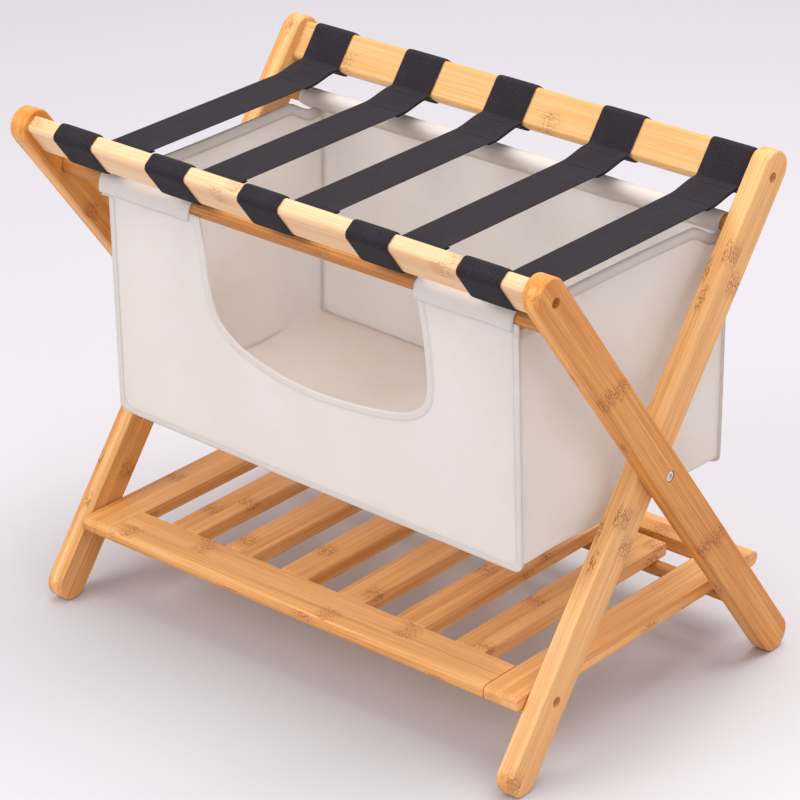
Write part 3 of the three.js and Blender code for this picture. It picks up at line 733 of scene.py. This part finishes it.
# The scoop's edge as curves, in x and in height over the dowel: down the left side, along the
# bottom, then up the right side.
SCOOP_LEFT = [
    [(-0.124, -0.004), (-0.119, -0.022), (-0.1165, -0.045), (-0.115, -0.067)],
    [(-0.115, -0.067), (-0.112, -0.085), (-0.109, -0.099), (-0.101, -0.109)],
    [(-0.101, -0.109), (-0.093, -0.118), (-0.082, -0.125), (-0.068, -0.130)],
]
SCOOP_BOTTOM = [[(-0.068, -0.130), (-0.026, -0.146), (0.060, -0.151), (0.122, -0.138)]]
SCOOP_RIGHT = [
    [(0.122, -0.138), (0.151, -0.132), (0.162, -0.120), (0.162, -0.096)],
    [(0.162, -0.096), (0.162, -0.066), (0.157, -0.034), (0.151, -0.004)],
]


def curve(segments, count):
    """Cubic curves end to end, as count evenly spaced points.

    Each is the sum of its four control points weighted (1-t)^3, 3t(1-t)^2, 3t^2(1-t) and t^3.
    """
    t = np.linspace(0, 1, 40)[:, None]
    weights = np.concatenate([(1 - t) ** 3, 3 * t * (1 - t) ** 2, 3 * t ** 2 * (1 - t), t ** 3], axis=1)
    return evenly(np.concatenate([weights @ np.array(points) for points in segments]), count)


def folds(a, b, seed):
    """Soft folds at a point of the cloth: four crossing waves of falling size, between -1 and 1."""
    shift = np.sin(seed * np.array([1.0, 2.3, 3.1, 4.7])) * 3
    waves = 0.42 * np.sin(13 * a + 5 * b + shift[0]) + 0.28 * np.sin(27 * a - 11 * b + shift[1])
    return waves + 0.18 * np.sin(8 * a + 36 * b + shift[2]) + 0.12 * np.sin(58 * a + 21 * b + shift[3])


def panel_shares(x, z, dowel):
    """How far across and how far down its panel a point lies, from 0 to 1."""
    across = np.clip((x - PANEL_LEFT) / (PANEL_RIGHT - PANEL_LEFT), 0, 1)
    down = np.clip((dowel[2] - z) / (dowel[2] - PANEL_BOTTOM), 0, 1)
    return across, down


def front_face(x, z):
    """The y of the front panel: it leans in as it goes down, and bellies out a little between its seams."""
    across, down = panel_shares(x, z, front_dowel)
    belly = np.sin(np.pi * across) * np.sin(np.pi * down) ** 0.8
    ruffle = folds(x, z, 1.0) * FRONT_RUFFLE * np.sin(np.pi * across) * np.sin(np.pi * down)
    lean = (front_dowel[2] - z) * FRONT_LEAN
    return front_dowel[1] - SLEEVE_RADIUS + SLEEVE_WALL + lean - BELLY * belly + ruffle


def back_face(x, z):
    """The y of the back panel, which hangs plumb and bellies back a little between its seams."""
    across, down = panel_shares(x, z, back_dowel)
    belly = np.sin(np.pi * across) * np.sin(np.pi * down)
    ruffle = folds(x, z, 2.0) * BACK_RUFFLE * np.sin(np.pi * across) * np.sin(np.pi * down)
    return back_dowel[1] + SLEEVE_RADIUS - SLEEVE_WALL + BELLY * belly + ruffle


def outline(inset, top, radius):
    """A panel's edge moved in by the inset: down the left side, along the bottom and up the right."""
    left, right, low = PANEL_LEFT + inset, PANEL_RIGHT - inset, PANEL_BOTTOM + inset
    corners = [(left + PANEL_TAPER, top), (left, low + BAG_SLOPE), (right, low), (right, top)]
    return bent_path(corners, [radius, radius])


def stretch_of(line, start, end, count):
    """The part of a line between two distances along it, as count evenly spaced points."""
    reach = along_line(line)
    wanted = np.linspace(start, end, count)
    return np.stack([np.interp(wanted, reach, column) for column in line.T], axis=1)


top_front = front_dowel[2] + PANEL_TOP
scoop = np.concatenate([curve(SCOOP_LEFT, 70)[:-1], curve(SCOOP_BOTTOM, 90)[:-1], curve(SCOOP_RIGHT, 70)])
scoop[:, 1] += front_dowel[2]
rim = outline(0.0, top_front, PANEL_CORNER)
rim_length = along_line(rim)[-1]
up_side = top_front - PANEL_BOTTOM - PANEL_CORNER + PANEL_CORNER * np.pi / 4
down_side = up_side - BAG_SLOPE
rim = np.concatenate([
    stretch_of(rim, 0, down_side, 70)[:-1],
    stretch_of(rim, down_side, rim_length - up_side, 90)[:-1],
    stretch_of(rim, rim_length - up_side, rim_length, 70),
])
share = np.linspace(0, 1, 46)[None, :, None]
flat_front = scoop[:, None, :] * (1 - share) + rim[:, None, :] * share
front_points = np.stack([
    flat_front[..., 0], front_face(flat_front[..., 0], flat_front[..., 1]), flat_front[..., 1],
], axis=-1)
front_panel = cloth_piece("bag_front_cloth", front_points, flat_front)

top_back = back_dowel[2] + PANEL_TOP
xs, heights = np.meshgrid(np.linspace(0, 1, 120), np.linspace(0, 1, 60), indexing="ij")
# The grid's lower corners are drawn in to the round corners: each row is narrowed by what an arc leaves.
fall = np.clip((PANEL_CORNER - heights * (top_back - PANEL_BOTTOM)) / PANEL_CORNER, 0, 1)
narrow = PANEL_CORNER * (1 - np.sqrt(1 - fall ** 2))
back_left = PANEL_LEFT + PANEL_TAPER * heights + narrow
back_right = PANEL_RIGHT + BACK_SPLAY - narrow
back_x = back_left + xs * (back_right - back_left)
back_foot = PANEL_BOTTOM + BAG_SLOPE * (1 - xs)
back_z = back_foot + heights * (top_back - back_foot)
back_points = np.stack([back_x, back_face(back_x, back_z), back_z], axis=-1)
back_panel = cloth_piece("bag_back_cloth", back_points, np.stack([back_x, back_z], axis=-1))

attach(front_panel, "bag_front")
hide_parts("bag_front_panel")
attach(back_panel, "bag_back")
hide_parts("bag_back_panel")

# The seam allowance is doubled under the topstitching, so a low welt follows the edge.
WELT_THICK = 0.0022
WELT_INSETS = (0.0002, 0.0014, 0.0040, 0.0066, 0.0078)
WELT_START, WELT_CORNER = 0.010, 0.010
for name, face, out, body in [("front", front_face, -1, "bag_front"), ("back", back_face, 1, "bag_back")]:
    lines = [evenly(outline(inset, top_front - WELT_START, WELT_CORNER), 240) for inset in WELT_INSETS]
    edges = np.stack(lines, axis=1)
    if body == "bag_back":
        edges[..., 0] += BACK_SPLAY * panel_shares(edges[..., 0], edges[..., 1], back_dowel)[0]
    proud = np.array([0.70, 0.95, 1.0, 0.95, 0.62]) * WELT_THICK / 2
    skin = face(edges[..., 0], edges[..., 1])
    outer_skin = np.stack([edges[..., 0], skin + out * proud, edges[..., 1]], axis=-1)
    inner_skin = np.stack([edges[..., 0], skin, edges[..., 1]], axis=-1)[:, ::-1]
    ring = np.concatenate([outer_skin, inner_skin], axis=1)
    welt_uv = np.stack(np.broadcast_arrays(
        along_line(edges[:, 0])[:, None], np.linspace(0, 0.018, 10)[None, :]), axis=-1)
    welt = grid_mesh(f"bag_{name}_welt", ring if out > 0 else ring[:, ::-1], welt_uv, bag_canvas,
                     closed=True, capped=True)
    line = evenly(outer_skin[:, 3], 260) + out * 0.0002 * ALONG_Y
    row = stitches(f"bag_{name}_seam_thread", line, out * ALONG_Y, bag_thread)
    for part in (welt, row):
        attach(part, body)


# ---- Bag: binding of the scoop ------------------------------------------------------------------
# A bias strip is folded over the scoop's raw edge and sewn through, so the edge is rounded, 8.5 mm
# deep and two and a half times as thick as the cloth.
BINDING_DEPTH = 0.0085
BINDING_THICK = 0.0030
BINDING_PROUD = 0.0012                  # that the fold stands past the raw edge
along_scoop = heading(scoop)
# Going down the left and along the bottom, the cloth lies on the right-hand side.
into_cloth = np.stack([along_scoop[:, 1], -along_scoop[:, 0]], axis=1)
angle = np.linspace(2 * np.pi, 0, 28, endpoint=False)
depth = (np.sign(np.cos(angle)) * np.abs(np.cos(angle)) ** 0.6 + 1) / 2 * BINDING_DEPTH - BINDING_PROUD
height = np.sign(np.sin(angle)) * np.abs(np.sin(angle)) ** 0.7 * BINDING_THICK / 2
section_at = scoop[:, None, :] + into_cloth[:, None, :] * depth[None, :, None]
binding_points = np.stack([
    section_at[..., 0],
    front_face(section_at[..., 0], section_at[..., 1]) - height[None, :],
    section_at[..., 1],
], axis=-1)
scoop_reach = along_line(scoop)
binding_uv = np.stack(np.broadcast_arrays(scoop_reach[:, None] * 0.7, depth[None, :] * 0.7), axis=-1)
binding = grid_mesh("bag_scoop_binding", binding_points, binding_uv, bag_canvas, closed=True, capped=True)
sewn = scoop + into_cloth * (BINDING_DEPTH - 0.0030)
sewn_line = np.stack([
    sewn[:, 0], front_face(sewn[:, 0], sewn[:, 1]) - BINDING_THICK * 0.47, sewn[:, 1]], axis=1)
binding_row = stitches("bag_binding_thread", sewn_line, -ALONG_Y, bag_thread)
for part in (binding, binding_row):
    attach(part, "bag_front")


# ---- Bag: gusset --------------------------------------------------------------------------------
# One long strip of canvas makes both ends and the floor. Its edges are turned out flat against the
# panels, and its two tops are hemmed. The ends sag in and the floor sags down under their own weight.
GUSSET_TOP = front_dowel[2] - 0.0105    # where it passes under the dowels
GUSSET_RISE = 0.0155                    # of each end's top edge between them
DOWEL_SHARE, RISE_SHARE = 0.056, 0.12   # of the way across: level under a dowel, then rising
END_HOLLOW, END_BUCKLE, END_CREASE = 0.0100, 0.0042, 0.0040
FLOOR_SAG, FLOOR_RUFFLE, FLOOR_LIFT = 0.0050, 0.0012, 0.0025
HEM, HEM_THICK = 0.010, 0.0009
gusset_path = evenly(outline(SEAM, GUSSET_TOP, 0.005), 300)
way = heading(gusset_path)
outward = np.stack([way[:, 1], -way[:, 0]], axis=1)


def end_sag(share, z):
    """How far an end of the bag hangs inwards, at a share of the way from front to back and a height.

    It is a hollow as broad as the end, with an upright buckle low down and a slanting crease.
    """
    up = np.clip((z - PANEL_BOTTOM) / (GUSSET_TOP - PANEL_BOTTOM), 0, 1)
    hollow = END_HOLLOW * np.sin(np.pi * share) ** 1.3 * np.sin(np.pi * (0.06 + 0.88 * up)) ** 0.8
    buckle = END_BUCKLE * np.sin(2 * np.pi * (share * 1.9 + 0.18 * up)) * np.sin(np.pi * share) * (1 - up)
    crease = END_CREASE * np.sin(2 * np.pi * (1.6 * share + 1.3 * up)) * np.sin(np.pi * share) * (1 - up ** 3)
    return (hollow + buckle + crease) * np.minimum(1, 12 * up)


def top_edge(share):
    """The height of an end's top edge: level under each dowel, then up by 3t^2 - 2t^3 of its rise."""
    t = np.clip((np.minimum(share, 1 - share) - DOWEL_SHARE) / RISE_SHARE, 0, 1)
    return GUSSET_TOP + GUSSET_RISE * (3 * t ** 2 - 2 * t ** 3)


# Across the strip: 3 mm turned out against the front panel, the run to the back, 3 mm turned out there.
turned = np.array([0.0029, 0.0022, 0.0015, 0.0009, 0.0004, 0.0])
run = np.linspace(0, 1, 64)
flare = np.concatenate([turned, np.zeros(62), turned[::-1]])
share = np.concatenate([np.zeros(5), run, np.ones(5)])
tuck = np.concatenate([np.zeros(4), [0.0003, 0.0010], np.zeros(62), [-0.0010, -0.0003], np.zeros(4)])

base_x, base_z = gusset_path[:, :1], gusset_path[:, 1:]
foot = PANEL_BOTTOM + SEAM + 0.010
rise = np.clip((base_z - foot) / (GUSSET_TOP - foot), 0, 1)
z = base_z - rise * (GUSSET_TOP - top_edge(share)[None, :])
floor_across = np.clip((base_x - PANEL_LEFT) / (PANEL_RIGHT - PANEL_LEFT), 0, 1)
between_seams = np.sin(np.pi * share)[None, :]
floor_sag = FLOOR_SAG * between_seams * np.sin(np.pi * floor_across)
floor_sag = floor_sag + FLOOR_RUFFLE * folds(base_x, 0.3 * share[None, :], 3.0) * between_seams
shift = flare[None, :] - np.abs(outward[:, :1]) * end_sag(share[None, :], z)
shift = shift + np.abs(outward[:, 1:]) * (floor_sag - FLOOR_LIFT)
gusset_x = base_x + outward[:, :1] * shift + BACK_SPLAY * share[None, :] * floor_across
gusset_z = z + outward[:, 1:] * shift
front_y = front_face(gusset_x, gusset_z) + CLOTH_THICK * 1.02
back_y = back_face(gusset_x, gusset_z) - CLOTH_THICK * 1.02
gusset_y = front_y + (back_y - front_y) * share[None, :] + tuck[None, :]
gusset_points = np.stack([gusset_x, gusset_y, gusset_z], axis=-1)
strip_reach = along_line(gusset_path)
strip_width = float(np.mean(back_y - front_y))
gusset_uv = np.stack(np.broadcast_arrays(
    strip_reach[:, None], (flare - 2 * flare * (share < 0.5) + share * strip_width)[None, :]), axis=-1)
gusset = cloth_piece("bag_gusset", gusset_points, gusset_uv)

# A hem goes over an end's top edge. From outside to inside: how far out it lies, and how far down.
hem_out = np.array([0.0002, 0.0002, 0.0002, 0.0001, 0.0, -0.0009, -0.0011, -0.0011, -0.0011])
hem_down = np.array([HEM, HEM * 0.6, HEM * 0.25, 0.0004, -0.0011, 0.0004, HEM * 0.25, HEM * 0.6, HEM])
hem_share = np.linspace(0.012, 0.988, 60)[:, None]
hems = []
hem_rows = []
for side, column in [("left", 0), ("right", -1)]:
    out = float(outward[column, 0])
    plane = gusset_path[column, 0]
    hem_z = top_edge(hem_share) - hem_down[None, :]
    splay = BACK_SPLAY * hem_share * (side == "right")
    hem_x = plane + splay + out * (hem_out[None, :] - end_sag(hem_share, hem_z))
    hem_front = front_face(hem_x, hem_z) + CLOTH_THICK
    hem_back = back_face(hem_x, hem_z) - CLOTH_THICK
    hem_y = hem_front + (hem_back - hem_front) * hem_share
    round_hem = np.cumsum(np.abs(hem_down))[None, :] * 0.3
    hem_uv = np.stack(np.broadcast_arrays(hem_share * strip_width, round_hem), axis=-1)
    hem_points = np.stack([hem_x, hem_y, hem_z], axis=-1)
    hems.append(cloth_piece(f"bag_end_hem_{side}", hem_points, hem_uv, thick=HEM_THICK))
    row_z = top_edge(hem_share[:, 0]) - HEM + 0.003
    row_x = plane + splay[:, 0] + out * (0.0006 - end_sag(hem_share[:, 0], row_z))
    row_y = hem_front[:, 1] + (hem_back[:, 1] - hem_front[:, 1]) * hem_share[:, 0]
    row_line = np.stack([row_x, row_y, row_z], axis=1)
    hem_rows.append(stitches(f"bag_end_hem_{side}_thread", row_line, out * ALONG_X, bag_thread))

for part in [gusset, *hems, *hem_rows]:
    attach(part, "bag_front")
    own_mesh(part)
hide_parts("bag_end_left", "bag_end_right", "bag_bottom")


# ---- Floor and light ----------------------------------------------------------------------------
# A plain pale floor, with broad soft light from the front left and above, and a weaker fill.
def floor_finish(name):
    """A matt pale paper floor with the faintest unevenness."""
    material, tree, shader = new_finish(name)
    place = add_node(tree, "TexCoord").outputs["Object"]
    cloud = streaks(tree, place, (0.8, 0.8, 0.8), detail=1.0)
    colour = blend_colours(tree, cloud, (0.62, 0.607, 0.635, 1), (0.605, 0.592, 0.62, 1))
    tree.links.new(colour, shader.inputs["Base Color"])
    shader.inputs["Roughness"].default_value = 0.9
    shader.inputs["Specular IOR Level"].default_value = 0.1
    return material


floor_xy = np.array([[-9.0, -9.0], [9.0, -9.0], [9.0, 9.0], [-9.0, 9.0]])
floor_mesh = bpy.data.meshes.new("floor")
floor_mesh.from_pydata(np.concatenate([floor_xy, np.zeros((4, 1))], axis=1).tolist(), [], [[0, 1, 2, 3]])
floor_mesh.materials.append(floor_finish("floor, pale"))
floor = bpy.data.objects.new("floor", floor_mesh)
bpy.context.scene.collection.objects.link(floor)

world = bpy.data.worlds.new("studio")
world.use_nodes = True
world.node_tree.nodes["Background"].inputs["Color"].default_value = (0.93, 0.92, 0.97, 1)
world.node_tree.nodes["Background"].inputs["Strength"].default_value = 0.70
bpy.context.scene.world = world
bpy.context.scene.view_settings.view_transform = "Standard"


def soft_light(name, at, towards, size, power, colour):
    """A square light of the given size that faces a point."""
    light = bpy.data.lights.new(name, "AREA")
    light.size = size
    light.energy = power
    light.color = colour
    lamp = bpy.data.objects.new(name, light)
    bpy.context.scene.collection.objects.link(lamp)
    away = unit(np.array(at, float) - np.array(towards, float))
    flat = unit(np.cross(ALONG_Z, away))
    placed = np.eye(4)
    placed[:3, :4] = np.stack([flat, np.cross(away, flat), away, np.array(at, float)], axis=1)
    lamp.matrix_world = Matrix(placed.tolist())


soft_light("key", (-1.3, -3.1, 2.3), (0.0, 0.0, 0.25), 2.2, 62.0, (1.0, 0.985, 0.97))
soft_light("fill", (2.6, -1.0, 2.0), (0.0, 0.0, 0.25), 2.0, 15.0, (1.0, 0.97, 0.95))
soft_light("top", (0.3, 0.6, 3.4), (0.0, 0.0, 0.25), 2.6, 98.0, (1.0, 0.97, 0.93))
